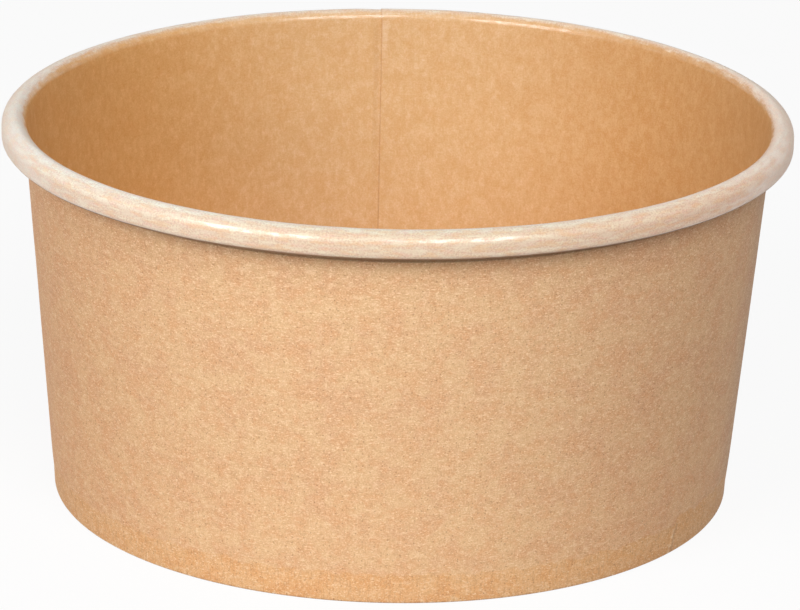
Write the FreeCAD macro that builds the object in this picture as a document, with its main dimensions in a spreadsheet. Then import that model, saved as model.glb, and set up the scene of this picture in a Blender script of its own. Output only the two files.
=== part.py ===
import FreeCAD
import Part
import Sketcher
import os
from collections import namedtuple
from math import asin, atan2, cos, degrees, radians, tan

# Paper salad bowl: a fan-shaped blank of board wrapped into a cone with a lapped side seam, curled into a
# rolled rim at the top and hemmed at the foot round the skirt of a pressed bottom disc.
# Millimetres, +Z up, origin at the centre of the foot.

sizes = {
    # the bowl as it stands
    "rim_diameter": 150.0,      # over the rolled rim
    "base_diameter": 130.0,     # over the fold at the foot
    "bowl_height": 74.0,
    # the two boards
    "side_board": 0.42,
    "base_board": 0.36,
    "seal_clearance": 0.03,     # seal film on each side of the skirt
    # the rolled rim, as radii of the coated face
    "roll_width": 4.3,
    "roll_height": 5.3,
    "roll_gap": 0.1,            # between the wall and the edge tucked up beside it
    "tuck_length": 1.1,         # straight end of that edge
    # the base joint
    "fold_radius": 0.06,
    "hem_height": 5.5,
    "disc_height": 6.2,         # underside of the bottom disc above the foot
    "disc_corner": 0.6,         # inside radius between disc and skirt
    "skirt_lift": 0.25,         # end of the skirt above the fold
    "knurl_count": 80,          # flutes pressed into the hem
    "knurl_width": 1.8,
    "knurl_depth": 0.12,
    "knurl_margin": 0.8,        # plain board over and under the flutes
    # the side seam
    "seam_azimuth": 92.3,
    "lap_width": 7.0,
    "ramp_width": 1.6,          # where the outer layer climbs over the inner one
    "ramp_lip": 0.04,
    "gap_width": 0.35,          # open line beside the raw edge inside the bowl
    "gap_depth": 0.22,
}

document = FreeCAD.newDocument("paper_salad_bowl")
sheet = document.addObject("Spreadsheet::Sheet", "size")
for row, (alias, value) in enumerate(sizes.items(), start=1):
    sheet.set(f"A{row}", alias)
    sheet.set(f"B{row}", str(value))
    sheet.setAlias(f"B{row}", alias)
document.recompute()

# Every bend of the side board: its centre and the radius of its coated face, which way the board turns
# there on its way from the hem up to the rim (1 is left, -1 is right), and the flats that the bend is
# rounded with on the coated and on the plain face, before and after its highest or lowest point.
Bend = namedtuple("Bend", "across up radius turn coated plain")
fold_height = "(size.fold_radius + size.side_board)"
foot_across = f"(size.base_diameter / 2 - {fold_height})"
hem_across = f"({foot_across} - size.base_board - 2 * size.seal_clearance + 2 * size.fold_radius)"
under_radius = "((size.roll_width - size.side_board - size.roll_gap) / 2)"
under_up = f"(size.bowl_height - size.roll_height + {under_radius})"
bends = {
    "hem": Bend(hem_across, fold_height, "size.fold_radius", 1, [1], [1]),
    "foot": Bend(foot_across, fold_height, "size.fold_radius", 1, [1], [1]),
    "crown": Bend("((size.rim_diameter - size.roll_width) / 2)",
                  "(size.bowl_height - size.roll_width / 2)", "(size.roll_width / 2)", -1, [3, 3], [1, 2]),
    "under": Bend(f"(size.rim_diameter / 2 - {under_radius})", under_up, under_radius, -1, [3, 2], [1, 1]),
}


def measure(expression):
    return float(sheet.evalExpression(expression))


def bend_radius(bend, depth):
    """Radius of a bend at a depth under the coated face, as an expression."""
    return f"{bend.radius} {'+' if bend.turn > 0 else '-'} {depth}"


def centre_of(bend):
    return FreeCAD.Vector(measure(bend.across), measure(bend.up), 0)


def heading_between(first, last):
    """Direction in degrees of the straight board between two bends."""
    way = centre_of(last) - centre_of(first)
    drift = last.turn * measure(last.radius) - first.turn * measure(first.radius)
    return degrees(atan2(way.y, way.x) - asin(drift / way.Length))


wall_heading = heading_between(bends["foot"], bends["crown"])


def wall_point(height, depth):
    """Point of the wall at a height, at a depth under its coated face."""
    lean = radians(90 - wall_heading)
    reach = (measure("size.fold_radius") + depth) / cos(lean)
    rise = height - measure(fold_height)
    return FreeCAD.Vector(measure(foot_across) + reach + rise * tan(lean), height, 0)


def new_sketch(body, name):
    sketch = body.newObject("Sketcher::SketchObject", name)
    plane = next(item for item in body.Origin.OriginFeatures if item.Role == "XZ_Plane")
    sketch.AttachmentSupport = [(plane, "")]
    sketch.MapMode = "FlatFace"
    return sketch


def bind(sketch, kind, *where, to):
    """Adds a dimension to a sketch and ties it to an expression over the sheet."""
    index = sketch.addConstraint(Sketcher.Constraint(kind, *where, measure(to)))
    sketch.setExpression(f"Constraints[{index}]", to)


def tie(sketch, kind, *where):
    sketch.addConstraint(Sketcher.Constraint(kind, *where))


def add_line(sketch, start, end, construction=False):
    return sketch.addGeometry(Part.LineSegment(start, end), construction)


def add_flats(sketch, arc, turn, stops, counts):
    """Rounds a construction arc with flats, so many of equal length between each two stops of heading."""
    flats = []
    for count, first, last in zip(counts, stops, stops[1:]):
        for step in range(count):
            angles = [radians(first + (last - first) * part / count - 90 * turn) for part in (step, step + 1)]
            flats.append(add_line(sketch, *(sketch.Geometry[arc].Circle.value(angle) for angle in angles)))
            if step:
                tie(sketch, "Equal", flats[-1], flats[-2])
    for index, (before, after) in enumerate(zip(flats, flats[1:]), start=1):
        tie(sketch, "Coincident", before, 2, after, 1)
        tie(sketch, "PointOnObject", after, 1, arc)
        if len(stops) == 3 and index == counts[0]:
            tie(sketch, "Vertical", after, 1, arc, 3)
    enter, leave = (1, 2) if turn > 0 else (2, 1)
    tie(sketch, "Coincident", flats[0], 1, arc, enter)
    tie(sketch, "Coincident", flats[-1], 2, arc, leave)
    return enter, leave


def add_bend(sketch, bend, depth, heading_in, heading_out):
    """Draws one bend of the board at a depth under its coated face; returns its arc, way in and way out."""
    while (heading_out - heading_in) * bend.turn < 0:
        heading_out += 360 * bend.turn
    ends = sorted((heading_in - 90 * bend.turn, heading_out - 90 * bend.turn))
    radius = bend_radius(bend, depth)
    circle = Part.Circle(centre_of(bend), FreeCAD.Vector(0, 0, 1), measure(radius))
    arc = sketch.addGeometry(Part.ArcOfCircle(circle, radians(ends[0]), radians(ends[1])), True)
    bind(sketch, "DistanceX", -1, 1, arc, 3, to=bend.across)
    bind(sketch, "DistanceY", -1, 1, arc, 3, to=bend.up)
    bind(sketch, "Radius", arc, to=radius)
    counts = bend.plain if depth == "size.side_board" else bend.coated
    level = round((heading_in + heading_out) / 360) * 180
    passes_level = len(counts) == 2 and level != heading_out
    stops = [heading_in, level, heading_out] if passes_level else [heading_in, heading_out]
    return (arc, *add_flats(sketch, arc, bend.turn, stops, counts))


def add_chain(sketch, names, depth, heading_in, heading_out):
    """Draws the named bends at a depth under the coated face, with the straight board between them."""
    chain = [bends[name] for name in names]
    headings = [heading_in] + [heading_between(*pair) for pair in zip(chain, chain[1:])] + [heading_out]
    arcs = [add_bend(sketch, bend, depth, *way) for bend, *way in zip(chain, headings, headings[1:])]
    lines = []
    for (first, _, leave), (last, enter, _) in zip(arcs, arcs[1:]):
        line = add_line(sketch, sketch.getPoint(first, leave), sketch.getPoint(last, enter))
        tie(sketch, "Tangent", first, leave, line, 1)
        tie(sketch, "Tangent", line, 2, last, enter)
        lines.append(line)
    return arcs, lines


def add_wall_line(sketch):
    """Draws the wall's coated face as a construction line, tangent to its foot and crown bends."""
    low, high = (wall_point(measure(bends[name].up), 0) for name in ("foot", "crown"))
    line = add_line(sketch, low, high, True)
    for end, name in ((1, "foot"), (2, "crown")):
        bend = bends[name]
        circle = Part.Circle(centre_of(bend), FreeCAD.Vector(0, 0, 1), measure(bend.radius))
        ring = sketch.addGeometry(circle, True)
        bind(sketch, "DistanceX", -1, 1, ring, 3, to=bend.across)
        bind(sketch, "DistanceY", -1, 1, ring, 3, to=bend.up)
        bind(sketch, "Radius", ring, to=bend.radius)
        tie(sketch, "Tangent", line, end, ring)
    return line


def add_wall_strip(sketch, depths, heights):
    """Draws a strip that runs along the wall between two depths and two heights."""
    wall = add_wall_line(sketch)
    near, far = (measure(depth) for depth in depths)
    low, high = (measure(height) for height in heights)
    corners = [wall_point(low, near), wall_point(low, far), wall_point(high, far), wall_point(high, near)]
    sides = [add_line(sketch, a, b) for a, b in zip(corners, corners[1:] + corners[:1])]
    for first, last in zip(sides, sides[1:] + sides[:1]):
        tie(sketch, "Coincident", first, 2, last, 1)
    bottom, outer, top, inner = sides
    for cap in (bottom, top):
        tie(sketch, "Horizontal", cap)
    for side, depth in ((outer, depths[1]), (inner, depths[0])):
        tie(sketch, "Parallel", side, wall)
        bind(sketch, "Distance", side, 1, wall, to=f"abs({depth})")
    bind(sketch, "DistanceY", -1, 1, bottom, 1, to=heights[0])
    bind(sketch, "DistanceY", -1, 1, top, 1, to=heights[1])


def turn_sketch(body, sketch, kind, name, *angles, midplane=False):
    """Turns a sketch about the bowl's axis, through one or two angles given as expressions."""
    feature = body.newObject(kind, name)
    feature.Profile = sketch
    feature.ReferenceAxis = (sketch, ["V_Axis"])
    feature.Type = "TwoAngles" if len(angles) == 2 else "Angle"
    feature.Midplane = midplane
    for prop, angle in zip(("Angle", "Angle2"), angles):
        feature.setExpression(prop, angle)
    document.recompute()
    return feature


def arc_angle(width, diameter):
    return f"{width} / ({diameter} / 2) * 180 / pi"


def nearest_edge(feature, point):
    """Name of the edge that passes closest to a point."""
    probe = Part.Vertex(point)
    reach = [probe.distToShape(edge)[0] for edge in feature.Shape.Edges]
    return f"Edge{reach.index(min(reach)) + 1}"


def draw_wall_section(body):
    """The side board's section: hem, fold round the skirt, wall and rolled rim, one board thick."""
    sketch = new_sketch(body, "wall_section")
    lean = radians(90 - wall_heading)
    ends = []
    for depth in ("0", "size.side_board"):
        arcs, lines = add_chain(sketch, list(bends), depth, wall_heading - 180, 90)
        fold_arc, fold_enter, _ = arcs[0]
        fold = sketch.getPoint(fold_arc, fold_enter)
        rise = measure("size.hem_height") - fold.y
        hem = add_line(sketch, fold + FreeCAD.Vector(rise * tan(lean), rise, 0), fold)
        tie(sketch, "Tangent", hem, 2, fold_arc, fold_enter)
        tie(sketch, "Parallel", hem, lines[1])
        under, _, leave = arcs[-1]
        roll = sketch.getPoint(under, leave)
        tuck = add_line(sketch, roll, roll + FreeCAD.Vector(0, measure("size.tuck_length"), 0))
        tie(sketch, "Tangent", tuck, 1, under, leave)
        tie(sketch, "Vertical", tuck)
        bind(sketch, "Distance", tuck, to="size.tuck_length")
        ends.append(((hem, 1), (tuck, 2)))
    bind(sketch, "DistanceY", -1, 1, *ends[0][0], to="size.hem_height")
    for near, far in zip(*ends):
        cap = add_line(sketch, sketch.getPoint(*near), sketch.getPoint(*far))
        tie(sketch, "Coincident", cap, 1, *near)
        tie(sketch, "Coincident", cap, 2, *far)
    tie(sketch, "Perpendicular", cap - 1, ends[0][0][0])
    return sketch


def draw_gap_section(body):
    """Everything on the coated side of the board down to the depth of the open seam line."""
    sketch = new_sketch(body, "gap_section")
    depth = "size.gap_depth"
    wall = add_wall_line(sketch)
    arcs, lines = add_chain(sketch, ["crown", "under"], depth, wall_heading, -180)
    crown, enter, _ = arcs[0]
    start = wall_point(measure("size.disc_height"), measure(depth))
    face = add_line(sketch, start, sketch.getPoint(crown, enter))
    tie(sketch, "Tangent", face, 2, crown, enter)
    tie(sketch, "Parallel", face, wall)
    bind(sketch, "DistanceY", -1, 1, face, 1, to="size.disc_height")
    under, _, leave = arcs[-1]
    tie(sketch, "Vertical", under, leave, under, 3)
    finish = sketch.getPoint(under, leave)
    left = start.x - measure("size.roll_width")
    right = measure("size.rim_diameter / 2 + size.roll_width")
    above = measure("size.bowl_height + size.roll_width")
    below = measure("size.bowl_height - 2 * size.roll_height")
    outline = [(finish.x, below), (right, below), (right, above), (left, above), (left, start.y)]
    corners = [finish] + [FreeCAD.Vector(across, up, 0) for across, up in outline] + [start]
    frame = [add_line(sketch, a, b) for a, b in zip(corners, corners[1:])]
    tie(sketch, "Coincident", under, leave, frame[0], 1)
    for first, last in zip(frame, frame[1:] + [face]):
        tie(sketch, "Coincident", first, 2, last, 1)
    for index, line in enumerate(frame):
        tie(sketch, "Horizontal" if index % 2 else "Vertical", line)
    bind(sketch, "DistanceY", -1, 1, frame[0], 2, to="size.bowl_height - 2 * size.roll_height")
    bind(sketch, "DistanceX", -1, 1, frame[1], 2, to="size.rim_diameter / 2 + size.roll_width")
    bind(sketch, "DistanceY", -1, 1, frame[2], 2, to="size.bowl_height + size.roll_width")
    bind(sketch, "DistanceX", frame[4], 2, face, 1, to="size.roll_width")
    return sketch


def build_seam_lap():
    """The outer layer of the side seam: it climbs a ramp on one side and ends as a raw edge on the other."""
    body = document.addObject("PartDesign::Body", "lap_layer")
    sketch = new_sketch(body, "lap_section")
    bedding = "size.side_board / 2"
    add_wall_strip(sketch, (bedding, "2 * size.side_board"), (fold_height, under_up))
    ramp_angle = arc_angle("size.ramp_width", "size.rim_diameter")
    lap_angle = arc_angle("size.lap_width", "size.rim_diameter")
    strip = turn_sketch(body, sketch, "PartDesign::Revolution", "lap_turn", ramp_angle, lap_angle)
    middle = wall_point(measure("size.bowl_height / 2"), measure("2 * size.side_board"))
    turned = FreeCAD.Rotation(FreeCAD.Vector(0, 0, 1), measure(ramp_angle))
    ramp = body.newObject("PartDesign::Chamfer", "lap_ramp")
    ramp.Base = (strip, [nearest_edge(strip, turned.multVec(FreeCAD.Vector(middle.x, 0, middle.y)))])
    ramp.ChamferType = "Two distances"
    ramp.setExpression("Size", "2 * size.side_board - size.side_board / 2 - size.ramp_lip")
    ramp.setExpression("Size2", "size.ramp_width")
    ramp.FlipDirection = True
    body.Tip = ramp
    document.recompute()
    return body


def build_sidewall():
    body = document.addObject("PartDesign::Body", "sidewall")
    body.Label = "sidewall"
    turn_sketch(body, draw_wall_section(body), "PartDesign::Revolution", "wall_turn", "360")
    lap = body.newObject("PartDesign::Boolean", "seam_lap")
    lap.Type = "Fuse"
    lap.setObjects([build_seam_lap()])
    document.recompute()

    # The line that stays open beside the inner layer's raw edge, up the wall and over the rim.
    gap_angle = arc_angle("size.gap_width", "size.rim_diameter")
    turn_sketch(body, draw_gap_section(body), "PartDesign::Groove", "seam_gap", gap_angle)

    # The flutes of the knurled hem.
    joint = "size.base_board + 2 * size.seal_clearance + size.side_board"
    flute = new_sketch(body, "flute_section")
    add_wall_strip(flute, (f"-({joint} + size.knurl_depth)", f"-({joint} - size.knurl_depth)"),
                   ("size.knurl_margin", "size.hem_height - size.knurl_margin"))
    flute_angle = arc_angle("size.knurl_width", "size.base_diameter")
    groove = turn_sketch(body, flute, "PartDesign::Groove", "knurl_flute", flute_angle, midplane=True)
    knurl = body.newObject("PartDesign::PolarPattern", "knurl")
    knurl.Originals = [groove]
    knurl.Axis = (flute, ["V_Axis"])
    knurl.Angle = 360
    knurl.setExpression("Occurrences", "size.knurl_count")
    body.Tip = knurl
    body.Placement.Rotation = FreeCAD.Rotation(FreeCAD.Vector(0, 0, 1), 0)
    body.setExpression("Placement.Rotation.Angle", "size.seam_azimuth")
    return body


def build_bottom_disc():
    body = document.addObject("PartDesign::Body", "bottom_disc")
    body.Label = "bottom_disc"
    sketch = new_sketch(body, "disc_section")
    wall = add_wall_line(sketch)
    # each face as its height on the disc, its distance from the wall on the skirt, its corner radius and
    # the flats that the corner is rounded with
    top, inner = "size.disc_height + size.base_board", "size.seal_clearance + size.base_board"
    upper = (top, "size.seal_clearance", "size.disc_corner + size.base_board", 1)
    lower = ("size.disc_height", inner, "size.disc_corner", 1)
    skirt_end = "size.side_board + size.skirt_lift"
    ends = []
    for height, inset, corner, count in (upper, lower):
        level, depth, radius = measure(height), -measure(inset), measure(corner)
        lean = radians(90 - wall_heading)
        foot = wall_point(measure(skirt_end), depth)
        # the corner's centre, from the level face and the leaning skirt that it touches
        centre = wall_point(level - radius, depth) - FreeCAD.Vector(radius / cos(lean), 0, 0)
        circle = Part.Circle(centre, FreeCAD.Vector(0, 0, 1), radius)
        bend = sketch.addGeometry(Part.ArcOfCircle(circle, -lean, radians(90)), True)
        add_flats(sketch, bend, -1, [0, wall_heading - 180], [count])
        flat = add_line(sketch, FreeCAD.Vector(0, level, 0), sketch.getPoint(bend, 2))
        skirt = add_line(sketch, sketch.getPoint(bend, 1), foot)
        tie(sketch, "Tangent", flat, 2, bend, 2)
        tie(sketch, "Tangent", bend, 1, skirt, 1)
        tie(sketch, "Horizontal", flat)
        tie(sketch, "PointOnObject", flat, 1, -2)
        tie(sketch, "Parallel", skirt, wall)
        bind(sketch, "Radius", bend, to=corner)
        bind(sketch, "DistanceY", -1, 1, flat, 1, to=height)
        bind(sketch, "Distance", skirt, 2, wall, to=inset)
        bind(sketch, "DistanceY", -1, 1, skirt, 2, to=skirt_end)
        ends.append(((flat, 1), (skirt, 2)))
    for near, far in zip(*ends):
        cap = add_line(sketch, sketch.getPoint(*near), sketch.getPoint(*far))
        tie(sketch, "Coincident", cap, 1, *near)
        tie(sketch, "Coincident", cap, 2, *far)
    turn_sketch(body, sketch, "PartDesign::Revolution", "disc_turn", "360")
    return body


pieces = [build_sidewall(), build_bottom_disc()]
document.recompute()
for item in document.Objects:
    if {"Invalid", "Error"} & set(item.State):
        raise RuntimeError(f"{item.Label} failed to build")
for piece in pieces:
    if piece.Shape.isNull() or not piece.Shape.isValid():
        raise RuntimeError(f"{piece.Label} has no valid shape")
os.makedirs("parts", exist_ok=True)
for piece in pieces:
    piece.Shape.exportStep(f"parts/{piece.Label}.step")
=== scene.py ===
import bpy
import bmesh
from math import asin, atan2, cos, exp, hypot, pi, radians, sin
from mathutils import Matrix, Vector, noise


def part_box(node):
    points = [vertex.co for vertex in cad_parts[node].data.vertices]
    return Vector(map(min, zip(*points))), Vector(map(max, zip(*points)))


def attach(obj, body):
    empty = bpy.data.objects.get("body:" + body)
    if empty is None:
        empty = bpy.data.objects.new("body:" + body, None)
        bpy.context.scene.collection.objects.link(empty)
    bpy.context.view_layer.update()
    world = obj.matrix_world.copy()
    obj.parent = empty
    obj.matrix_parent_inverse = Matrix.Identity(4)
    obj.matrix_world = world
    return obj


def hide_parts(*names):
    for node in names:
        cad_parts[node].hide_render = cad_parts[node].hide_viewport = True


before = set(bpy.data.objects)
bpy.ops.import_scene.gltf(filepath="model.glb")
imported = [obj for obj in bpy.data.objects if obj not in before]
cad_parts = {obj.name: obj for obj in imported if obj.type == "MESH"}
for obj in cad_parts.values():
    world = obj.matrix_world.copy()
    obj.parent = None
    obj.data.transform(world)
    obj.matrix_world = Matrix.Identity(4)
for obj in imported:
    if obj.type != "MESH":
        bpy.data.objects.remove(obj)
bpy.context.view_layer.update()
print("frame loaded")

mm = 0.001
wallLow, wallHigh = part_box("sidewall")
discLow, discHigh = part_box("bottom_disc")
rimRadius = (wallHigh.x - wallLow.x) / 2
bowlHeight = wallHigh.z
wallPoints = [v.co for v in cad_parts["sidewall"].data.vertices]
footRadius = max(hypot(co.x, co.y) for co in wallPoints if co.z < 0.01 * mm)
middleRadius = 68 * mm          # the wall's, at which its grain is laid out flat
lastTurn = 2 * pi * middleRadius


class Sock:
    # an output socket that can be used in plain arithmetic
    def __init__(self, shader, socket):
        self.shader = shader
        self.socket = socket

    def maths(self, kind, *others):
        return self.shader.node("ShaderNodeMath", {"operation": kind}, dict(enumerate((self, *others))))

    def __add__(self, other):
        return self.maths("ADD", other)

    def __sub__(self, other):
        return self.maths("SUBTRACT", other)

    def __mul__(self, other):
        return self.maths("MULTIPLY", other)

    def __rsub__(self, other):
        return self.shader.node("ShaderNodeMath", {"operation": "SUBTRACT"}, {0: other, 1: self})

    __radd__ = __add__
    __rmul__ = __mul__

    def between(self, low, high):
        # 0 at low, 1 at high, eased between
        return self.shader.node("ShaderNodeMapRange", {"interpolation_type": "SMOOTHSTEP"},
                                {"Value": self, "From Min": low, "From Max": high})


class Shader:
    # the nodes of a new material, or of the world
    def __init__(self, owner):
        self.owner = owner
        owner.use_nodes = True
        self.tree = owner.node_tree
        self.tree.nodes.clear()

    def node(self, kind, settings=None, inputs=None, output=0):
        made = self.tree.nodes.new(kind)
        for key, value in (settings or {}).items():
            setattr(made, key, value)
        for key, value in (inputs or {}).items():
            if isinstance(value, Sock):
                self.tree.links.new(value.socket, made.inputs[key])
            else:
                made.inputs[key].default_value = value
        return Sock(self, made.outputs[output]) if made.outputs else made

    def mix(self, factor, first, second, blend="MIX"):
        return self.node("ShaderNodeMix", {"data_type": "RGBA", "blend_type": blend},
                         {"Factor": factor, 6: first, 7: second}, 2)

    def layered(self, colour, patterns, layers, colours):
        # each layer lays its colour over the last, where its pattern is between two values
        for pattern, low, high, strength, tint in layers:
            colour = self.mix(patterns[pattern].between(low, high) * strength, colour, colours[tint])
        return colour

    def finish(self, surface, kind="ShaderNodeOutputMaterial"):
        self.node(kind, {}, {"Surface": surface})
        return self.owner


# the side board: a fan-shaped blank wrapped into a cone, hemmed at the foot and curled over at the rim
sideBoard = {
    "thickness": 0.42 * mm,
    # the rolled rim
    "rollWidth": 4.3 * mm,
    "rollHeight": 5.3 * mm,
    "rollGap": 0.1 * mm,            # between the wall and the tucked edge
    "heelRadius": 1.25 * mm,        # where the roll turns under
    "tuckRadius": 0.9 * mm,         # where it turns up beside the wall
    "tuck": 1.6 * mm,
    "shoulder": 0.35 * mm,          # how much lower the lid press leaves the roll's outer side
    "shoulderOn": (0.35, 0.62),     # shares of the crown's bend where it comes in
    "shoulderTop": 2 * mm,          # below the rim's top, where all of it shows
    # the fold at the foot
    "hemHeight": 5.5 * mm,
    "foldRadius": 0.06 * mm,        # inside the fold
    "hemRoom": 0.3 * mm,            # between the fold's two bends, for the disc's skirt
    # the side seam
    "seamAzimuth": 93.0,            # degrees, where the inner layer's raw edge is
    "lapWidth": 7.0 * mm,
    "rampWidth": 2.0 * mm,          # where the outer layer climbs over that edge
    "rampOnRoll": 2.5,              # how many times wider the ramp is on the roll
    "openLine": 0.06 * mm,          # left open beside it
    "lapRoom": 0.02 * mm,           # between the two layers
    "pressed": 0.62,                # share of the board's thickness left where the seam is pressed
    "pressedFade": 2 * mm,
    "lapOnRoll": 0.6,               # share of the lap's height left on the roll
    "lapOffFold": (0.6 * mm, 2.4 * mm),     # from the fold, where the lap comes in
    "rollNear": (-2 * mm, 1 * mm),  # along the board from the crown, where the lap takes the roll's form
    # how far the bowl is from a perfect cone
    "waviness": 0.10 * mm,
    "waves": (16 * mm, 5 * mm),     # long and short
    "shortWaves": 0.4,              # the short ones' share of the long ones' height
    "wavesFrom": (2 * mm, 12 * mm), # above the foot
    "outOfRound": 0.08 * mm,
    "roundTurn": 0.9,               # radians
    "outOfRoundTo": (0.0, 0.5),     # shares of the crown's bend where all of this fades out
    "sidesIn": 0.30 * mm,           # how far the rim's two sides pull in
    "askewFoot": -0.33 * mm,
    "askewTop": 0.18 * mm,
    "forwardFoot": -0.35 * mm,
    "lowFront": 0.2 * mm,
    # the hem band
    "bandStep": 0.07 * mm,          # how far it is pressed in
    "bandFoot": (0.5 * mm, 1.4 * mm),
    "bandTop": (-0.6 * mm, 0.4 * mm),       # from the hem's height
    "bandRagged": 0.5 * mm,         # how far its top edge wanders up and down
    "bandWave": 6 * mm,
    "ripple": 0.05 * mm,            # vertical ripples over it, outside
    "rippleUneven": (0.6, 0.8),     # their usual strength, and how much it varies
    "flute": 0.16 * mm,             # pressed flutes, inside the foot
    "fluteCount": 80,
    "fluteDrift": 2.4,              # radians
    "fluteWaves": (9 * mm, 14 * mm),
    "fluteIn": (0.9 * mm, 1.8 * mm),
    "fluteOut": (0.5 * mm, 1.2 * mm),
    # the pucker of the skirt, and the dip beside it
    "puckerAt": 129.5,              # degrees clockwise from the seam
    "puckerHigh": 0.18 * mm,
    "puckerWide": 0.38 * mm,
    "puckerSlant": -0.25,
    "puckerFoot": (0.3 * mm, 1.3 * mm),
    "puckerTop": (4.2 * mm, 6.2 * mm),
    "dipShare": 0.7,
    "dipAside": 0.9 * mm,
    "dipWide": 0.5 * mm,
    # how finely the board is divided: steps along its straights and bends, and degrees between its columns
    "straights": {"hem": 6, "foot": 1, "crown": 26, "heel": 1, "under": 1, "tuck": 2},
    "bends": {"hem": 4, "foot": 4, "crown": 14, "heel": 6, "under": 4},
    "columns": {"underLap": 0.6, "wall": 0.66, "pucker": 0.16, "ramp": 0.14, "overLap": 0.5},
    "puckerReach": 1.8,             # degrees to each side that get the closer columns
}


def ease(value, low, high):
    share = min(max((value - low) / (high - low), 0.0), 1.0)
    return share * share * (3 - 2 * share)


def pointAt(centre, radius, angle):
    return Vector((centre[0] + radius * cos(angle), 0, centre[1] + radius * sin(angle)))


def drawStraight(bm, tip, end, steps):
    # carries a section's last point straight on
    stride = (end - tip.co) / steps
    for _ in range(steps):
        tip = bmesh.ops.extrude_vert_indiv(bm, verts=[tip])["verts"][0]
        bmesh.ops.translate(bm, verts=[tip], vec=stride)
    return tip


def drawBend(bm, tip, centre, turn, steps):
    # carries it round a bend, to the left where turn is positive
    made = bmesh.ops.spin(bm, geom=[tip], cent=(centre[0], 0, centre[1]), axis=(0, -1, 0),
                          angle=turn, steps=steps)
    return next(item for item in made["geom_last"] if isinstance(item, bmesh.types.BMVert))


def headingBetween(first, last):
    # direction of the straight board that touches two bends, each (centre, radius, side)
    (x0, z0), r0, side0 = first
    (x1, z1), r1, side1 = last
    drift = side1 * r1 - side0 * r0
    return atan2(z1 - z0, x1 - x0) - asin(drift / hypot(x1 - x0, z1 - z0))


def wallBends():
    # the bends of the board's coated face, from the hem to the tucked edge
    b = sideBoard
    foldUp = b["foldRadius"] + b["thickness"]
    foot = footRadius
    rollOut = b["rollWidth"] / 2
    underside = bowlHeight - b["rollHeight"]
    tucked = rimRadius - b["rollWidth"] + b["thickness"] + b["rollGap"]
    return {
        "hem": ((foot - b["hemRoom"], foldUp), b["foldRadius"], 1),
        "foot": ((foot, foldUp), b["foldRadius"], 1),
        "crown": ((rimRadius - rollOut, bowlHeight - rollOut), rollOut, -1),
        "heel": ((rimRadius - b["heelRadius"], underside + b["heelRadius"]), b["heelRadius"], -1),
        "under": ((tucked + b["tuckRadius"], underside + b["tuckRadius"]), b["tuckRadius"], -1),
    }


bends = wallBends()
wallHeading = headingBetween(bends["foot"], bends["crown"])
lean = pi / 2 - wallHeading
# how far up the wall the roll's underside is, and about how much board goes round the roll's upper bend
underRim = (bowlHeight - sideBoard["rollHeight"] - bends["foot"][0][1]) / cos(lean)
crownLength = pi * sideBoard["rollWidth"] / 2


def drawWallSection(bm):
    # gives the points where each bend starts and ends
    b = sideBoard
    crossing = headingBetween(bends["hem"], bends["foot"])
    headings = [wallHeading - pi, crossing, wallHeading, -pi / 2, -pi, -1.5 * pi]
    fold = pointAt(bends["hem"][0], b["foldRadius"], wallHeading - 1.5 * pi)
    rise = b["hemHeight"] - fold.z
    tip = bm.verts.new(fold + Vector((rise * sin(lean) / cos(lean), 0, rise)))
    ends = {}
    for (name, (centre, radius, side)), before, after in zip(bends.items(), headings, headings[1:]):
        reached = pointAt(centre, radius, before - side * pi / 2)
        start = drawStraight(bm, tip, reached, b["straights"][name])
        tip = drawBend(bm, start, centre, after - before, b["bends"][name])
        ends[name] = (start, tip)
    drawStraight(bm, tip, tip.co + Vector((0, 0, b["tuck"])), b["straights"]["tuck"])
    return ends


def turnAround(bm, edges, stops, around):
    # turns the section clockwise about the bowl's axis, one column at a time
    turned = 0.0
    for stop in stops:
        made = bmesh.ops.spin(bm, geom=edges, cent=(0, 0, 0), axis=(0, 0, -1), angle=stop - turned, steps=1)
        edges = [item for item in made["geom_last"] if isinstance(item, bmesh.types.BMEdge)]
        for item in made["geom_last"]:
            if isinstance(item, bmesh.types.BMVert):
                item[around] = stop
        turned = stop


def evenStops(first, last, stride):
    count = max(1, round((last - first) / stride))
    return [first + (last - first) * (step + 1) / count for step in range(count)]


def wobble(place, size, seed=0.0):
    # a slow natural unevenness, from -1 to 1
    return noise.noise(Vector(place) / size + Vector((seed, seed * 1.7, seed * 0.3)))


def outOfRound(point, rise, fade):
    # the bowl isn't a perfect cone: its sides pull in a little under the rim, and it stands a little askew
    b = sideBoard
    angle = atan2(point.y, point.x)
    pull = b["sidesIn"] * rise * (1 + cos(2 * angle)) / 2
    pull += b["outOfRound"] * rise * (1 - cos(2 * angle - b["roundTurn"])) / 2
    across = hypot(point.x, point.y)
    if across > 0:
        point.x -= point.x / across * pull * fade
        point.y -= point.y / across * pull * fade
    point.x += (b["askewFoot"] + (b["askewTop"] - b["askewFoot"]) * rise) * fade
    point.y += b["forwardFoot"] * (1 - rise) * fade


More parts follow.
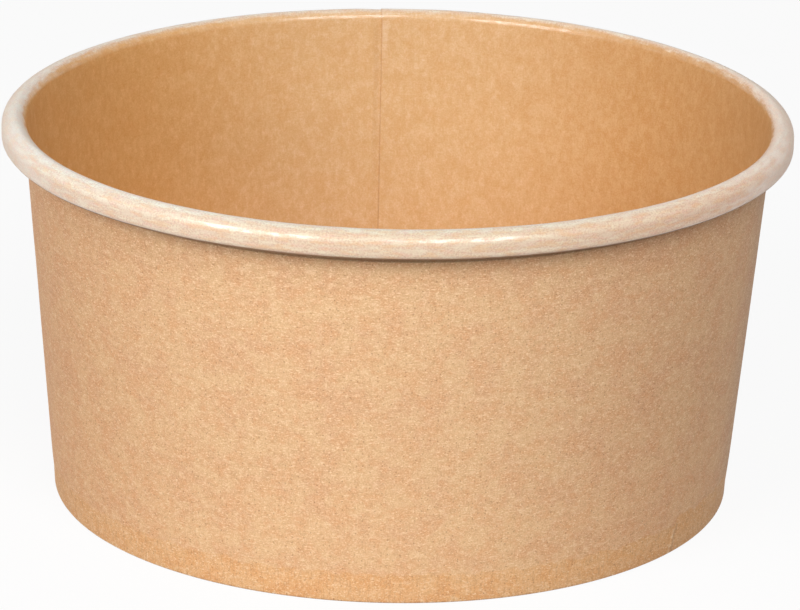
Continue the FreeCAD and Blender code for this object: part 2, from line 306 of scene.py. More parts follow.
def boardShift(place, around, along, marks):
    # how far the board leaves its plain cone at a place, toward its coated face
    b = sideBoard
    shift = 0.0
    height = along - marks["foot"]
    # the outer layer of the lap climbs over the inner one
    full = 2 * pi - b["openLine"] / rimRadius
    onRoll = ease(along - marks["crown"], *b["rollNear"])
    ramp = b["rampWidth"] * (1 + (b["rampOnRoll"] - 1) * onRoll) / rimRadius
    onLap = ease(around, full - ramp, full) * ease(abs(along - marks["fold"]), *b["lapOffFold"])
    shift -= (b["thickness"] * b["pressed"] + b["lapRoom"]) * onLap * (1 - (1 - b["lapOnRoll"]) * onRoll)
    # slow waves in the wall and the rolled rim
    longWave, shortWave = b["waves"]
    waves = wobble(place, longWave) + b["shortWaves"] * wobble(place, shortWave, seed=3.0)
    shift += b["waviness"] * ease(height, *b["wavesFrom"]) * (waves - 1) / 2
    # the hem band: pressed in a little and rippled outside, fluted inside
    ragged = b["bandRagged"] * wobble((place.x, place.y, 0), b["bandWave"], seed=5.0)
    inBand = ease(height, *b["bandFoot"]) * (1 - ease(height - b["hemHeight"] - ragged, *b["bandTop"]))
    phaseWave, strengthWave = b["fluteWaves"]
    phase = b["fluteCount"] * around + b["fluteDrift"] * wobble(place, phaseWave, seed=7.0)
    usual, varies = b["rippleUneven"]
    strength = usual + varies * wobble(place, strengthWave, seed=9.0)
    shift += inBand * (b["bandStep"] + b["ripple"] * (1 + cos(phase)) / 2 * strength)
    inHem = ease(marks["fold"] - along, *b["fluteIn"]) * ease(along, *b["fluteOut"])
    shift += inHem * b["flute"] * max(cos(phase), 0.0)
    # one pucker where the skirt of the disc is folded under
    aside = (around - radians(b["puckerAt"])) * footRadius - b["puckerSlant"] * height
    raised = ease(height, *b["puckerFoot"]) * (1 - ease(height, *b["puckerTop"]))
    fold = exp(-(aside / b["puckerWide"]) ** 2)
    dip = b["dipShare"] * exp(-((aside + b["dipAside"]) / b["dipWide"]) ** 2)
    return shift - b["puckerHigh"] * raised * (fold - dip)


def columnStops(lap, climb):
    # the turns at which the section is repeated, closer where the board has more form
    b = sideBoard
    strides = {name: radians(stride) for name, stride in b["columns"].items()}
    puckerStart = radians(b["puckerAt"] - b["puckerReach"])
    puckerEnd = radians(b["puckerAt"] + b["puckerReach"])
    return (evenStops(0, lap, strides["underLap"])
            + evenStops(lap, puckerStart, strides["wall"])
            + evenStops(puckerStart, puckerEnd, strides["pucker"])
            + evenStops(puckerEnd, climb, strides["wall"])
            + evenStops(climb, 2 * pi, strides["ramp"])
            + evenStops(2 * pi, 2 * pi + lap, strides["overLap"]))


def addThickness(sheet, thickness):
    # the second material goes on the plain face and the third on the cut edges
    wall = sheet.modifiers.new("boardThickness", "SOLIDIFY")
    wall.thickness = thickness
    wall.offset = -1
    wall.use_even_offset = True
    wall.material_offset = 1
    wall.material_offset_rim = 2
    return wall


def makeSheet(bm, meshName, sheetName):
    for face in bm.faces:
        face.smooth = True
    for edge in bm.edges:
        edge.smooth = not edge.is_boundary
    mesh = bpy.data.meshes.new(meshName)
    bm.to_mesh(mesh)
    bm.free()
    sheet = bpy.data.objects.new(sheetName, mesh)
    bpy.context.scene.collection.objects.link(sheet)
    return sheet


def makeSideBoard():
    b = sideBoard
    bm = bmesh.new()
    around = bm.verts.layers.float.new("around")
    along = bm.verts.layers.float.new("along")
    ends = drawWallSection(bm)
    section = list(bm.verts)
    for before, after in zip(section, section[1:]):
        after[along] = before[along] + (after.co - before.co).length
    marks = {
        "fold": ends["foot"][0][along],
        "foot": ends["foot"][1][along],
        "crown": ends["crown"][0][along],
        "heel": ends["heel"][0][along],
        "underside": ends["heel"][1][along],
    }
    toSeam = Matrix.Rotation(radians(b["seamAzimuth"]), 3, "Z")
    bmesh.ops.rotate(bm, verts=bm.verts, cent=(0, 0, 0), matrix=toSeam)
    lap = b["lapWidth"] / rimRadius
    climb = 2 * pi - (b["rampWidth"] + b["openLine"]) / rimRadius
    turnAround(bm, list(bm.edges), columnStops(lap, climb), around)
    bm.normal_update()
    onWall = next(f for f in bm.faces if 0.4 < f.calc_center_median().z / bowlHeight < 0.5)
    if onWall.normal.dot(onWall.calc_center_median()) > 0:
        bmesh.ops.reverse_faces(bm, faces=bm.faces)
        bm.normal_update()
    normals = {v: v.normal.copy() for v in bm.verts}
    rollFoot, shoulderTop = bowlHeight - b["rollHeight"], bowlHeight - b["shoulderTop"]
    for v in bm.verts:
        v.co += normals[v] * boardShift(v.co, v[around], v[along], marks)
        onRoll = (v[along] - marks["crown"]) / crownLength
        rise = min(max((v[along] - marks["foot"]) / (marks["crown"] - marks["foot"]), 0.0), 1.0)
        outOfRound(v.co, rise, 1 - ease(onRoll, *b["outOfRoundTo"]))
        v.co.z -= b["lowFront"] * rise * (1 - v.co.y / rimRadius) / 2
        v.co.z -= b["shoulder"] * ease(onRoll, *b["shoulderOn"]) * ease(v.co.z, rollFoot, shoulderTop)
    flat = bm.loops.layers.uv.new("boardFlat")
    weights = bm.verts.layers.deform.verify()
    for v in bm.verts:
        innerLayer = 1 - ease(v[around], lap, lap + b["pressedFade"] / rimRadius)
        outerLayer = ease(v[around], climb, 2 * pi)
        v[weights][0] = 1 - (1 - b["pressed"]) * max(innerLayer, outerLayer)
    for face in bm.faces:
        for loop in face.loops:
            loop[flat].uv = (loop.vert[around] * middleRadius, loop.vert[along])
    board = makeSheet(bm, "sideBoard", "side_board_sheet")
    wall = addThickness(board, b["thickness"])
    wall.vertex_group = board.vertex_groups.new(name="fullThickness").name
    return board, marks


board, marks = makeSideBoard()
print("side board rolled:", len(board.data.vertices), "points")

# the pressed bottom disc with its skirt
bottomDisc = {
    "thickness": 0.36 * mm,
    "corner": 0.6 * mm,
    "clearance": 0.03 * mm,
    "sag": 0.12 * mm,
    "sagFrom": (0.55, 0.97),        # shares of the foot's radius between which it fades out
    "sagUneven": 0.5,
    "sagWave": 30 * mm,
    # steps along the disc's section, and round it
    "steps": {"flat": 40, "corner": 8, "skirt": 4, "round": 240},
}


def makeBottomDisc():
    d = bottomDisc
    steps = d["steps"]
    top = discHigh.z
    radius = d["corner"] + d["thickness"]
    foot = bends["foot"][0]
    # the skirt's outer face is a leaning line, so far inside the wall's coated face
    inset = (sideBoard["foldRadius"] - d["clearance"]) / cos(lean)
    level = top - radius
    skirtAt = foot[0] + inset + (level - foot[1]) * sin(lean) / cos(lean)
    centre = (skirtAt - radius / cos(lean), level)
    bm = bmesh.new()
    tip = bm.verts.new((0, 0, top))
    tip = drawStraight(bm, tip, Vector((centre[0], 0, top)), steps["flat"])
    tip = drawBend(bm, tip, centre, -(pi / 2 + lean), steps["corner"])
    drop = tip.co.z - discLow.z
    drawStraight(bm, tip, tip.co - Vector((drop * sin(lean) / cos(lean), 0, drop)), steps["skirt"])
    bmesh.ops.spin(bm, geom=bm.edges[:], cent=(0, 0, 0), axis=(0, 0, 1), angle=2 * pi,
                   steps=steps["round"], use_merge=True)
    bmesh.ops.remove_doubles(bm, verts=bm.verts, dist=0.001 * mm)
    bm.normal_update()
    onTop = next(f for f in bm.faces if f.calc_center_median().z > top - 0.01 * mm)
    if onTop.normal.z < 0:
        bmesh.ops.reverse_faces(bm, faces=bm.faces)
    fadeStart, fadeEnd = (share * footRadius for share in d["sagFrom"])
    for v in bm.verts:
        loose = 1 - ease(hypot(v.co.x, v.co.y), fadeStart, fadeEnd)
        if v.co.z > level:
            v.co.z -= d["sag"] * loose * (1 + d["sagUneven"] * wobble(v.co, d["sagWave"], seed=11.0))
        outOfRound(v.co, v.co.z / bowlHeight, 1.0)
    disc = makeSheet(bm, "bottomDisc", "bottom_disc_sheet")
    addThickness(disc, d["thickness"])
    return disc


disc = makeBottomDisc()
print("bottom disc pressed:", len(disc.data.vertices), "points")

# the finishes; colours are linear, and places are on the flat board, from the seam and from the foot
kraftOutside = {
    "base": (0.762, 0.468, 0.247, 1),
    "rosy": (0.720, 0.405, 0.219, 1),
    "ruddy": (0.745, 0.385, 0.185, 1),
    "straw": (0.80, 0.52, 0.277, 1),
    "pale": (0.95, 0.69, 0.43, 1),
    "deep": (0.54, 0.265, 0.12, 1),
    "speck": (0.38, 0.14, 0.045, 1),
    "shade": (0.16, 0.075, 0.03, 1),
    "band": (0.80, 0.42, 0.165, 1),
    "stain": (0.70, 0.30, 0.12, 1),
    # tints that come in across the board and up it, and where: leftward, rightward and farRight are painted
    # shade, a deeper, warmer tone on the sides that turn from the lamps and at the right edge; lower is
    # lighter low down; higher is painted shade below the rim
    "leftward": (1.0, 0.885, 0.825, 1),
    "leftwardAt": (246 * mm, 311 * mm),
    "rightward": (0.995, 0.94, 0.945, 1),
    "rightwardAt": (196 * mm, 166 * mm),
    "farRight": (0.88, 0.90, 0.97, 1),
    "farRightAt": ((138 * mm, 124 * mm), (60 * mm, 100 * mm)),
    "lower": (1.03, 1.025, 1.02, 1),
    "lowerAt": (30 * mm, 12 * mm),
    "higher": (0.95, 0.935, 0.93, 1),
    "higherAt": (-11 * mm, -5 * mm),        # painted shade below the rim, from the roll's underside, as the painted shadow under it is
    # painted shadow on the wall just under the roll
    "shadeAt": (-1.65 * mm, -1.25 * mm),
    "shadeStrength": 0.55,
    # the paper's grains: size, how far each is drawn out, seed and detail
    "cloud": (9 * mm, (1, 1, 1), 2.0, 4),
    "patch": (4 * mm, (1, 1, 1), 33.0, 2),
    "blotch": (1.5 * mm, (1, 1, 1), 15.0, 3),
    "mottle": (1.1 * mm, (1.5, 1, 1), 3.0, 3),
    "fleck": (0.26 * mm, (2.8, 1, 1), 21.0, 1),
    "fine": (0.30 * mm, (1, 1, 1), 7.0, 1),
    "combed": (0.5 * mm, (1, 5, 1), 25.0, 2),
    "ragged": (4 * mm, (1, 1, 1), 11.0, 3),
    "fibre": 0.19 * mm,
    # layers of colour: the grain, the values between which it comes in, its strength and its colour
    "cloudAt": (0.42, 0.62),
    "broadLayers": (
        ("blotch", 0.51, 0.64, 0.60, "ruddy"),
        ("blotch", 0.48, 0.34, 0.50, "straw"),
        ("patch", 0.50, 0.62, 0.44, "ruddy"),
        ("patch", 0.50, 0.38, 0.56, "straw"),
    ),
    "mottleLayers": (
        ("mottle", 0.52, 0.70, 0.48, "pale"),
        ("mottle", 0.48, 0.30, 0.33, "deep"),
    ),
    "fibreStrength": (0.20, 0.18),          # of the light and of the dark fibres
    "fineLayers": (
        ("fleck", 0.60, 0.68, 0.85, "pale"),
        ("fine", 0.50, 0.68, 0.36, "pale"),
        ("fine", 0.50, 0.32, 0.33, "deep"),
    ),
    # dark bits and finer dust: their spacing and size, the share of places that have one, strength and seed
    "specks": (
        (3.6 * mm, 0.19 * mm, 0.08, 0.60, 1.0),
        (1.2 * mm, 0.19 * mm, 0.26, 0.45, 2.0),
    ),
    # the hem band: from its top edge, and how strongly it and its stain show, more where patches are ruddy
    "bandAt": (0.15 * mm, -0.50 * mm),
    "bandRagged": 3.2 * mm,
    "bandStrength": (0.58, 0.36),
    "bandPatch": (0.44, 0.58),
    "stainStrength": 0.32,
    "stainPatch": (0.50, 0.60),
    "combedDark": (0.50, 0.34),
    "combedDarkStrength": 0.36,
    "combedPale": (0.54, 0.70),
    "combedPaleStrength": 0.20,
    # the band stands a little higher to one side of the pucker
    "bandHigher": 1.2 * mm,
    "bandHigherAt": ((0.6 * mm, -0.6 * mm), (-40 * mm, -15 * mm)),
    # the pucker: pale in two marks along its crest, and painted shade in the dip beside it
    "creaseAt": ((-0.6 * mm, -0.1 * mm), (0.7 * mm, 0.15 * mm)),
    "lowMark": (1.7 * mm, 1.2 * mm),
    "highMark": ((2.5 * mm, 3.0 * mm), (4.6 * mm, 3.9 * mm)),
    "creaseMottle": (0.38, 0.54),
    "creaseStrength": 0.90,
    "dipAt": ((-1.7 * mm, -0.9 * mm), (-0.3 * mm, -0.7 * mm)),
    "dipUpTo": (5.6 * mm, 4.6 * mm),
    "dipStrength": 0.65,
    "roughness": 0.62,
    "specular": 0.3,
    "bump": (0.35, 0.04 * mm),              # strength and height
}


def grain(shader, place, size, stretch=(1, 1, 1), seed=0.0, detail=3, roughness=0.6):
    # a noise whose spots are about so large, drawn out where stretch is over 1
    moved = shader.node("ShaderNodeMapping", {}, {"Vector": place, "Location": (seed, seed * 1.3, seed),
                                                  "Scale": tuple(1 / (size * side) for side in stretch)})
    return shader.node("ShaderNodeTexNoise", {}, {"Vector": moved, "Scale": 1.0, "Detail": detail,
                                                  "Roughness": roughness})


def grains(shader, place, k, *names):
    return {name: grain(shader, place, *k[name]) for name in names}


def specks(shader, place, spacing, size, share, seed):
    # small dark bits, one in some of the cells of a given spacing
    moved = shader.node("ShaderNodeMapping", {}, {"Vector": place, "Location": (seed, seed, 0)})
    cells = {"Vector": moved, "Scale": 1 / spacing}
    near = shader.node("ShaderNodeTexVoronoi", {"voronoi_dimensions": "2D"}, cells, "Distance")
    chosen = shader.node("ShaderNodeTexVoronoi", {"voronoi_dimensions": "2D"}, cells, "Color")
    picked = shader.node("ShaderNodeSeparateColor", {}, {"Color": chosen})
    inside = near.between(size / spacing, 0.5 * size / spacing)
    return inside * picked.between(1 - share, 1.02 - share)


# three sets of fibres: how far each is drawn out and turned, its seed, and where it is light and where dark
fibres = {
    "along": ((3.5, 1, 1), 0.0, 1.0, (0.54, 0.68), (0.45, 0.31)),
    "across": ((1, 3.5, 1), 0.0, 5.0, (0.54, 0.68), (0.45, 0.31)),
    "slanting": ((3.0, 1, 1), 0.8, 9.0, (0.56, 0.70), (0.43, 0.30)),
}


def kraftFibres(shader, place, size):
    light, dark = 0.0, 0.0
    for stretch, turn, seed, lightAt, darkAt in fibres.values():
        turned = shader.node("ShaderNodeMapping", {}, {"Vector": place, "Rotation": (0, 0, turn)})
        lines = grain(shader, turned, size, stretch, seed)
        light = light + lines.between(*lightAt)
        dark = dark + lines.between(*darkAt)
    return light, dark


def within(distance, rising, falling):
    # 1 only between two places
    return distance.between(*rising) * distance.between(*falling)


def boardPlace(shader):
    # the place on the flat board, and its distances from the seam and along the section
    place = shader.node("ShaderNodeUVMap", {"uv_map": "boardFlat"})
    around = shader.node("ShaderNodeSeparateXYZ", {}, {"Vector": place}, 0)
    along = shader.node("ShaderNodeSeparateXYZ", {}, {"Vector": place}, 1)
    return place, around, along


def tintedByPlace(shader, colour, around, height):
    # tints by place: painted shade on the left and right sides, at the right edge and below the rim, and a
    # lighter tone low down
    k = kraftOutside
    tints = (
        (around.between(*k["leftwardAt"]), "leftward"),
        (around.between(*k["rightwardAt"]), "rightward"),
        (within(around, *k["farRightAt"]), "farRight"),
        (height.between(*k["lowerAt"]), "lower"),
        ((height - underRim).between(*k["higherAt"]), "higher"),
    )
    for where, tint in tints:
        colour = shader.mix(where, colour, k[tint], "MULTIPLY")
    return colour


def bandAndPucker(shader, colour, patterns, around, height, place):
    k = kraftOutside
    more = grains(shader, place, k, "ragged", "combed")
    aside = around - radians(sideBoard["puckerAt"]) * middleRadius - height * sideBoard["puckerSlant"]
    edge = height - sideBoard["hemHeight"] + (more["ragged"] - 0.5) * k["bandRagged"]
    edge = edge - within(aside, *k["bandHigherAt"]) * k["bandHigher"]
    band = edge.between(*k["bandAt"])
    least, patchy = k["bandStrength"]
    strength = least + patterns["patch"].between(*k["bandPatch"]) * patchy
    colour = shader.mix(band * strength, colour, k["band"])
    stained = patterns["patch"].between(*k["stainPatch"]) * k["stainStrength"]
    colour = shader.mix(band * stained, colour, k["stain"])
    combedDark = more["combed"].between(*k["combedDark"]) * k["combedDarkStrength"]
    colour = shader.mix(band * combedDark, colour, k["deep"])
    combedPale = more["combed"].between(*k["combedPale"]) * k["combedPaleStrength"]
    colour = shader.mix(band * combedPale, colour, k["pale"])
    marksUp = height.between(*k["lowMark"]) + within(height, *k["highMark"])
    marked = patterns["mottle"].between(*k["creaseMottle"]) * k["creaseStrength"]
    colour = shader.mix(within(aside, *k["creaseAt"]) * marksUp * marked, colour, k["pale"])
    # painted shade in the dip beside the pucker
    dip = within(aside, *k["dipAt"]) * height.between(*k["dipUpTo"])
    return shader.mix(dip * k["dipStrength"], colour, k["deep"])


def makeKraftOutside(name, forSideBoard=True):
    k = kraftOutside
    shader = Shader(bpy.data.materials.new(name))
    if forSideBoard:
        place, around, along = boardPlace(shader)
    else:
        place = shader.node("ShaderNodeTexCoord", {}, {}, "Object")
    light, dark = kraftFibres(shader, place, k["fibre"])
    patterns = grains(shader, place, k, "cloud", "patch", "blotch", "mottle", "fleck", "fine")
    colour = shader.mix(patterns["cloud"].between(*k["cloudAt"]), k["base"], k["rosy"])
    colour = shader.layered(colour, patterns, k["broadLayers"], k)
    if forSideBoard:
        height = along - marks["foot"]
        colour = tintedByPlace(shader, colour, around, height)
        colour = bandAndPucker(shader, colour, patterns, around, height, place)
    colour = shader.layered(colour, patterns, k["mottleLayers"], k)
    lightStrength, darkStrength = k["fibreStrength"]
    colour = shader.mix(light * lightStrength, colour, k["pale"])
    colour = shader.mix(dark * darkStrength, colour, k["deep"])
    colour = shader.layered(colour, patterns, k["fineLayers"], k)
    for spacing, size, share, strength, seed in k["specks"]:
        bits = specks(shader, place, spacing, size, share, seed)
        colour = shader.mix(bits * strength, colour, k["speck"])
    if forSideBoard:
        # painted shadow on the wall just under the roll
        shadowUnderRoll = (height - underRim).between(*k["shadeAt"])
        colour = shader.mix(shadowUnderRoll * k["shadeStrength"], colour, k["shade"])
    strength, depth = k["bump"]
    bump = shader.node("ShaderNodeBump", {}, {"Height": light - dark + patterns["fine"],
                                              "Strength": strength, "Distance": depth})
    surface = shader.node("ShaderNodeBsdfPrincipled", {}, {
        "Base Color": colour, "Roughness": k["roughness"], "Normal": bump,
        "Specular IOR Level": k["specular"]})
    return shader.finish(surface)


kraftCoated = {
    "base": (0.695, 0.44, 0.212, 1),
    "amber": (0.63, 0.345, 0.125, 1),
    "rosy": (0.68, 0.405, 0.185, 1),
    "peach": (0.73, 0.479, 0.252, 1),
    "olive": (0.665, 0.397, 0.177, 1),
    "streak": (0.88, 0.68, 0.50, 1),
    # the film's and the paper's grains, as on the outside, with a roughness where it isn't the usual one
    "cloud": (5 * mm, (0.9, 1.3, 1), 13.0, 4),
    "smallCloud": (3 * mm, (0.9, 1.2, 1), 17.0, 4),
    "blotch": (3 * mm, (0.8, 1.2, 1), 45.0, 3),
    "mottle": (1.3 * mm, (0.8, 1.3, 1), 19.0, 4, 0.7),
    "streaks": (0.4 * mm, (0.8, 6, 1), 23.0, 2),
    "fine": (0.34 * mm, (1, 1, 1), 41.0, 1),
    "fibre": 0.26 * mm,
    "layers": (
        ("cloud", 0.45, 0.68, 0.55, "amber"),
        ("smallCloud", 0.46, 0.64, 0.70, "rosy"),
        ("blotch", 0.50, 0.62, 0.70, "peach"),
        ("blotch", 0.50, 0.38, 0.60, "olive"),
        ("mottle", 0.51, 0.64, 0.50, "amber"),
        ("mottle", 0.48, 0.34, 0.18, "streak"),
        ("streaks", 0.54, 0.75, 0.10, "streak"),
        ("streaks", 0.46, 0.25, 0.20, "amber"),
    ),
    "fibreStrength": (0.12, 0.25),
    "fineLayers": (
        ("fine", 0.50, 0.66, 0.12, "streak"),
        ("fine", 0.50, 0.34, 0.30, "amber"),
    ),
    # painted bounce light and shade: the wall is tinted deeper and warmer away from the seam, differently
    # on the right and left, and painted light makes it lighter low down
    "nearSeam": (62 * mm, 8 * mm),
    "bounceShadeRight": (0.905, 0.795, 0.655, 1),
    "bounceShadeLeft": (1.08, 0.945, 0.71, 1),
    "bounceShadeAt": (0.35, 0.65),               # shares of a turn from the seam
    "lower": (1.09, 1.07, 1.08, 1),
    "lowerAt": (52 * mm, 26 * mm),
    # the seam: a dark line where the layers part, partly the glue line and partly painted shade in the
    # crevice, and a painted highlight beside it where the inner layer's cut edge catches the light
    "seamLine": (0.30, 0.14, 0.05, 1),
    "partingBefore": (-0.36 * mm, -0.10 * mm),
    "partingAfter": (0.08 * mm, 0.02 * mm),
    "partingStrength": (0.10, 0.2),
    "litEdgeAt": (1.4 * mm, 0.9 * mm),
    "litEdgeBelowRim": (-14 * mm, -4 * mm),
    "litEdgeGrain": (0.35, 0.60),
    "litEdgeStrength": 0.30,
    "rough": (0.50, 0.10, 0.12),            # on the wall, how much less on the roll, and more on wrinkles
    "specular": 0.35,
    "bump": (0.35, 0.05 * mm),
    "bumpWeave": 0.3,
    "bumpWrinkles": 2.0,
    "discRoughness": 0.48,
    "discCoat": (0.08, 0.23),               # weight and roughness
    "discBump": (0.15, 0.04 * mm),
}


def coatedColour(shader, place):
    k = kraftCoated
    light, dark = kraftFibres(shader, place, k["fibre"])
    patterns = grains(shader, place, k, "cloud", "smallCloud", "blotch", "mottle", "streaks", "fine")
    colour = shader.layered(k["base"], patterns, k["layers"], k)
    lightStrength, darkStrength = k["fibreStrength"]
    colour = shader.mix(light * lightStrength, colour, k["streak"])
    colour = shader.mix(dark * darkStrength, colour, k["amber"])
    return shader.layered(colour, patterns, k["fineLayers"], k), light - dark


# the roll's colour and gloss, where the board pales as it is bent over; its pale colour is partly the
# board's and partly a painted reflection of the bright surroundings in the film
kraftRolled = {
    "base": (0.75, 0.535, 0.38, 1),
    "cream": (0.86, 0.72, 0.53, 1),
    "pink": (0.80, 0.505, 0.39, 1),
    "warm": (0.80, 0.49, 0.28, 1),
    "milky": (0.83, 0.67, 0.50, 1),
    "shaded": (0.60, 0.385, 0.28, 1),
    "drawn": (1.1 * mm, (3.6, 0.8, 1), 31.0, 3),
    "wrinkles": (0.5 * mm, (1, 2.5, 1), 29.0, 3),
    "crumbs": (0.34 * mm, (1, 1, 1), 37.0, 2),
    "patches": (1.5 * mm, (2.4, 0.8, 1), 43.0, 2),
    "layers": (
        ("drawn", 0.51, 0.64, 0.75, "cream"),
        ("drawn", 0.49, 0.36, 0.75, "pink"),
        ("wrinkles", 0.50, 0.64, 0.35, "cream"),
        ("wrinkles", 0.49, 0.35, 0.35, "pink"),
        ("crumbs", 0.52, 0.62, 0.50, "cream"),
        ("crumbs", 0.48, 0.37, 0.55, "shaded"),
        ("patches", 0.51, 0.64, 0.45, "warm"),
        ("patches", 0.49, 0.36, 0.50, "milky"),
    ),
    # painted light and shade round the rim, with shares of a turn from the seam: darker at the front,
    # lighter on the right and more on the left, and nearly even at the back
    "front": (0.93, 0.97, 0.95, 1),
    "right": (1.07, 1.0, 0.955, 1),
    "rightAt": (0.48, 0.34),
    "left": (1.08, 1.21, 1.31, 1),
    "leftAt": ((0.51, 0.68), (0.96, 0.80)),
    "back": (1.02, 1.01, 0.99, 1),
    "backAt": ((0.28, 0.16), (0.72, 0.84)),
    # places over the roll, as shares of its upper bend
    "onset": (0.07, 0.25),
    "onsetBack": 0.09,                      # how much further on it starts at the back
    "onsetDrawn": 2.2 * mm,
    "onsetWrinkled": 1.0 * mm,
    # painted light on the crest, along the top of the roll
    "crest": (1.06, 1.18, 1.28, 1),
    "crestAt": ((0.22, 0.40), (0.68, 0.52)),
    "flank": (0.995, 0.96, 0.955, 1),
    "leftFlank": (0.98, 0.90, 0.85, 1),
    "flankAt": (0.78, 1.0),
    # painted sheen: paler where the roll is seen at a glance
    "sheen": (0.97, 0.84, 0.74, 1),
    "sheenAt": (0.45, 0.70),
    "sheenStrength": 0.40,
    # painted shadow along the roll's lower edge, where it turns under
    "under": (0.26, 0.125, 0.055, 1),
    "underAt": (0.32, 0.50),                # shares of its lower bend
    "underStrength": 0.95,
    # the film's gloss: on the wall, on the roll, and more on its smoother patches
    "glossFrom": (-0.1 * mm, 0.9 * mm),
    "gloss": (0.06, 0.26, 0.56),
    "glossPatch": (0.56, 0.42),
    "glossFacing": (0.80, 0.60),
    "coatIor": 1.7,
    "coatRoughness": 0.16,
}


def overRoll(along, first, last):
    # first and last are shares of the roll's upper bend
    return along.between(marks["crown"] + first * crownLength, marks["crown"] + last * crownLength)


def roundRim(around, first, last):
    return around.between(first * lastTurn, last * lastTurn)


def rolledColour(shader, patterns, facing, around, along, toBack):
    # painted light makes it whitest along the crest and lighter on the left and right, warmer on the right
    # than on the left; painted shade darkens the front; a painted sheen pales it at a glance
    r = kraftRolled
    pale = shader.layered(r["base"], patterns, r["layers"], r)
    rising, falling = r["leftAt"]
    toLeft = roundRim(around, *rising) * roundRim(around, *falling)
    tint = shader.mix(roundRim(around, *r["rightAt"]), r["front"], r["right"])
    tint = shader.mix(toBack, shader.mix(toLeft, tint, r["left"]), r["back"])
    pale = shader.mix(1.0, pale, tint, "MULTIPLY")
    rising, falling = r["crestAt"]
    pale = shader.mix(overRoll(along, *rising) * overRoll(along, *falling), pale, r["crest"], "MULTIPLY")
    flank = shader.mix(toLeft, r["flank"], r["leftFlank"])
    pale = shader.mix(overRoll(along, *r["flankAt"]), pale, flank, "MULTIPLY")
    return shader.mix(facing.between(*r["sheenAt"]) * r["sheenStrength"], pale, r["sheen"])


def makeKraftCoated():
    k = kraftCoated
    r = kraftRolled
    shader = Shader(bpy.data.materials.new("kraft_coated"))
    place, around, along = boardPlace(shader)
    colour, weave = coatedColour(shader, place)
    patterns = grains(shader, place, r, "drawn", "wrinkles", "crumbs", "patches")
    drawn, wrinkles = patterns["drawn"], patterns["wrinkles"]
    # the wall
    seamStart, seamEnd = k["nearSeam"]
    bySeam = around.between(seamStart, seamEnd) + around.between(lastTurn - seamStart, lastTurn - seamEnd)
    # painted bounce light and shade, away from the seam
    bounceShade = shader.mix(roundRim(around, *k["bounceShadeAt"]), k["bounceShadeRight"], k["bounceShadeLeft"])
    colour = shader.mix(1 - bySeam, colour, bounceShade, "MULTIPLY")
    height = along - marks["foot"]
    # painted light: lighter low down
    colour = shader.mix(height.between(*k["lowerAt"]), colour, k["lower"], "MULTIPLY")
    # the roll
    toBack = roundRim(around, *r["backAt"][0]) + roundRim(around, *r["backAt"][1])
    onset = along + (drawn - 0.5) * r["onsetDrawn"] + (wrinkles - 0.5) * r["onsetWrinkled"]
    stretched = overRoll(onset - toBack * (r["onsetBack"] * crownLength), *r["onset"])
    facing = shader.node("ShaderNodeLayerWeight", {}, {"Blend": 0.5}, "Facing")
    colour = shader.mix(stretched, colour, rolledColour(shader, patterns, facing, around, along, toBack))
    # painted shadow where the roll turns under
    turn = marks["underside"] - marks["heel"]
    under = along.between(*(marks["heel"] + share * turn for share in r["underAt"]))
    colour = shader.mix(under * r["underStrength"], colour, r["under"])
    # the seam: partly painted shade in the crevice, and a painted highlight beside the cut edge
    parting = (around - lastTurn).between(*k["partingBefore"]) + around.between(*k["partingAfter"])
    least, wrinkled = k["partingStrength"]
    colour = shader.mix(parting * (least + wrinkles * wrinkled), colour, k["seamLine"])
    # painted highlight on the cut edge, below the rim
    belowRim = (along - marks["crown"]).between(*k["litEdgeBelowRim"])
    marked = drawn.between(*k["litEdgeGrain"]) * k["litEdgeStrength"]
    colour = shader.mix(around.between(*k["litEdgeAt"]) * belowRim * marked, colour, k["streak"])
    # the film
    onRoll = (along - marks["crown"]).between(*r["glossFrom"])
    usual, smoother, wrinkled = k["rough"]
    rough = usual - onRoll * smoother + wrinkles * wrinkled
    onWall, more, patchy = r["gloss"]
    gloss = onWall + onRoll * (more + patterns["patches"].between(*r["glossPatch"]) * patchy)
    strength, depth = k["bump"]
    relief = weave * k["bumpWeave"] + wrinkles * onRoll * k["bumpWrinkles"] + drawn * onRoll
    bump = shader.node("ShaderNodeBump", {}, {"Height": relief, "Strength": strength, "Distance": depth})
    surface = shader.node("ShaderNodeBsdfPrincipled", {}, {
        "Base Color": colour, "Roughness": rough, "Normal": bump, "Specular IOR Level": k["specular"],
        "Coat Weight": gloss * facing.between(*r["glossFacing"]), "Coat IOR": r["coatIor"],
        "Coat Roughness": r["coatRoughness"]})
    return shader.finish(surface)


def makeDiscCoated():
    k = kraftCoated
    shader = Shader(bpy.data.materials.new("disc_coated"))
    place = shader.node("ShaderNodeTexCoord", {}, {}, "Object")
    colour, weave = coatedColour(shader, place)
    strength, depth = k["discBump"]
    bump = shader.node("ShaderNodeBump", {}, {"Height": weave, "Strength": strength, "Distance": depth})
    coat, coatRoughness = k["discCoat"]
    surface = shader.node("ShaderNodeBsdfPrincipled", {}, {
        "Base Color": colour, "Roughness": k["discRoughness"], "Normal": bump,
        "Specular IOR Level": k["specular"], "Coat Weight": coat, "Coat Roughness": coatRoughness})
    return shader.finish(surface)


# the cut edge, where the plies show
cutEdge = {
    "plies": (0.12 * mm, (1, 1, 4)),
    "pliesAt": (0.35, 0.65),
    "roughness": 0.9,
}


def makeRawEdge():
    shader = Shader(bpy.data.materials.new("raw_edge"))
    place = shader.node("ShaderNodeTexCoord", {}, {}, "Object")
    plies = grain(shader, place, *cutEdge["plies"]).between(*cutEdge["pliesAt"])
    colour = shader.mix(plies, kraftOutside["base"], kraftOutside["pale"])
    surface = shader.node("ShaderNodeBsdfPrincipled", {}, {
        "Base Color": colour, "Roughness": cutEdge["roughness"]})
    return shader.finish(surface)


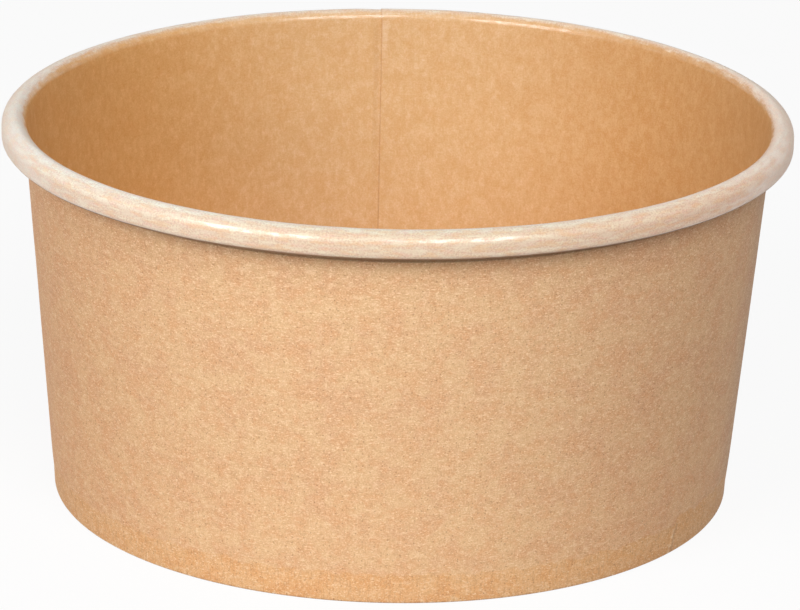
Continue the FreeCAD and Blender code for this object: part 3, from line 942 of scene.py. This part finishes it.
rawEdge = makeRawEdge()
for material in (makeKraftCoated(), makeKraftOutside("kraft_outside"), rawEdge):
    board.data.materials.append(material)
for material in (makeDiscCoated(), makeKraftOutside("disc_underside", forSideBoard=False), rawEdge):
    disc.data.materials.append(material)
print("finishes mixed")

for piece, node, slot in ((board, "sidewall", "side_board"), (disc, "bottom_disc", "base_board")):
    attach(piece, "root")
    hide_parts(node)

# the set: floor, light and camera
studio = {
    "ambient": 0.13,
    "white": (1, 1, 1, 1),
    "floorSize": 6,
    "floorBounce": (0.4, 0.4, 0.4, 1),      # for the light that the floor throws back
    "floorShown": (0.88, 0.88, 0.88, 1),    # for the camera
    "floorWhite": 0.915,                    # share of plain white in what the camera sees
    "lampDistance": 1.6,
    # each lamp's azimuth from the front and elevation in degrees, size in metres, power and colour
    "lamps": {
        "leftSoftbox": (-42, 27, 0.9, 17.1, (1.0, 0.99, 0.98)),
        "rightSoftbox": (20, 36, 0.9, 15.3, (1.0, 1.0, 1.0)),
    },
    "cameraAt": (0.0, -0.8370, 0.3230),
    "cameraPan": 0.072,                     # degrees
    "cameraTilt": 18.999,
    "cameraRoll": 0.01885,                  # radians
    "cameraLens": 207.2,
    "sensorWidth": 36,
    "cameraReach": (0.05, 20),              # the nearest and furthest that it shows
}


def seenByCamera(shader):
    # 1 where the camera sees a thing itself, or through glass or in gloss
    rays = [shader.node("ShaderNodeLightPath", {}, {}, ray)
            for ray in ("Is Camera Ray", "Is Glossy Ray", "Is Transmission Ray")]
    return rays[0].maths("MAXIMUM", rays[1]).maths("MAXIMUM", rays[2])


def makeFloor():
    bm = bmesh.new()
    bmesh.ops.create_grid(bm, x_segments=1, y_segments=1, size=studio["floorSize"])
    mesh = bpy.data.meshes.new("floor")
    bm.to_mesh(mesh)
    bm.free()
    floor = bpy.data.objects.new("floor", mesh)
    bpy.context.scene.collection.objects.link(floor)
    shader = Shader(bpy.data.materials.new("paleFloor"))
    shown = seenByCamera(shader)
    tone = shader.mix(shown, studio["floorBounce"], studio["floorShown"])
    paper = shader.node("ShaderNodeBsdfDiffuse", {}, {"Color": tone})
    white = shader.node("ShaderNodeEmission", {}, {"Color": studio["white"], "Strength": 1.0})
    surface = shader.node("ShaderNodeMixShader", {}, {0: shown * studio["floorWhite"], 1: paper, 2: white})
    mesh.materials.append(shader.finish(surface))


def makeBackground():
    shader = Shader(bpy.data.worlds.new("studio"))
    soft, plain = (shader.node("ShaderNodeBackground", {}, {"Color": studio["white"], "Strength": strength})
                   for strength in (studio["ambient"], 1.0))
    either = shader.node("ShaderNodeMixShader", {}, {0: seenByCamera(shader), 1: soft, 2: plain})
    bpy.context.scene.world = shader.finish(either, "ShaderNodeOutputWorld")


def makeLamps():
    for name, (azimuth, elevation, size, power, colour) in studio["lamps"].items():
        data = bpy.data.lights.new(name, "AREA")
        data.energy = power
        data.color = colour
        data.size = size
        lamp = bpy.data.objects.new(name, data)
        turn, rise = radians(azimuth), radians(elevation)
        away = Vector((sin(turn) * cos(rise), -cos(turn) * cos(rise), sin(rise)))
        lamp.location = away * studio["lampDistance"] + Vector((0, 0, bowlHeight / 2))
        lamp.rotation_euler = away.to_track_quat("Z", "Y").to_euler()
        bpy.context.scene.collection.objects.link(lamp)


def makeCamera():
    data = bpy.data.cameras.new("camera")
    data.lens = studio["cameraLens"]
    data.sensor_width = studio["sensorWidth"]
    data.clip_start, data.clip_end = studio["cameraReach"]
    camera = bpy.data.objects.new("camera", data)
    pan, tilt = radians(studio["cameraPan"]), radians(studio["cameraTilt"])
    turned = Matrix.Rotation(-pan, 4, "Z") @ Matrix.Rotation(pi / 2 - tilt, 4, "X")
    rolled = turned @ Matrix.Rotation(studio["cameraRoll"], 4, "Z")
    camera.matrix_world = Matrix.Translation(studio["cameraAt"]) @ rolled
    bpy.context.scene.collection.objects.link(camera)
    bpy.context.scene.camera = camera


makeFloor()
makeBackground()
makeLamps()
makeCamera()
bpy.context.scene.view_settings.view_transform = "Standard"
print("set laid out")

bpy.context.view_layer.update()
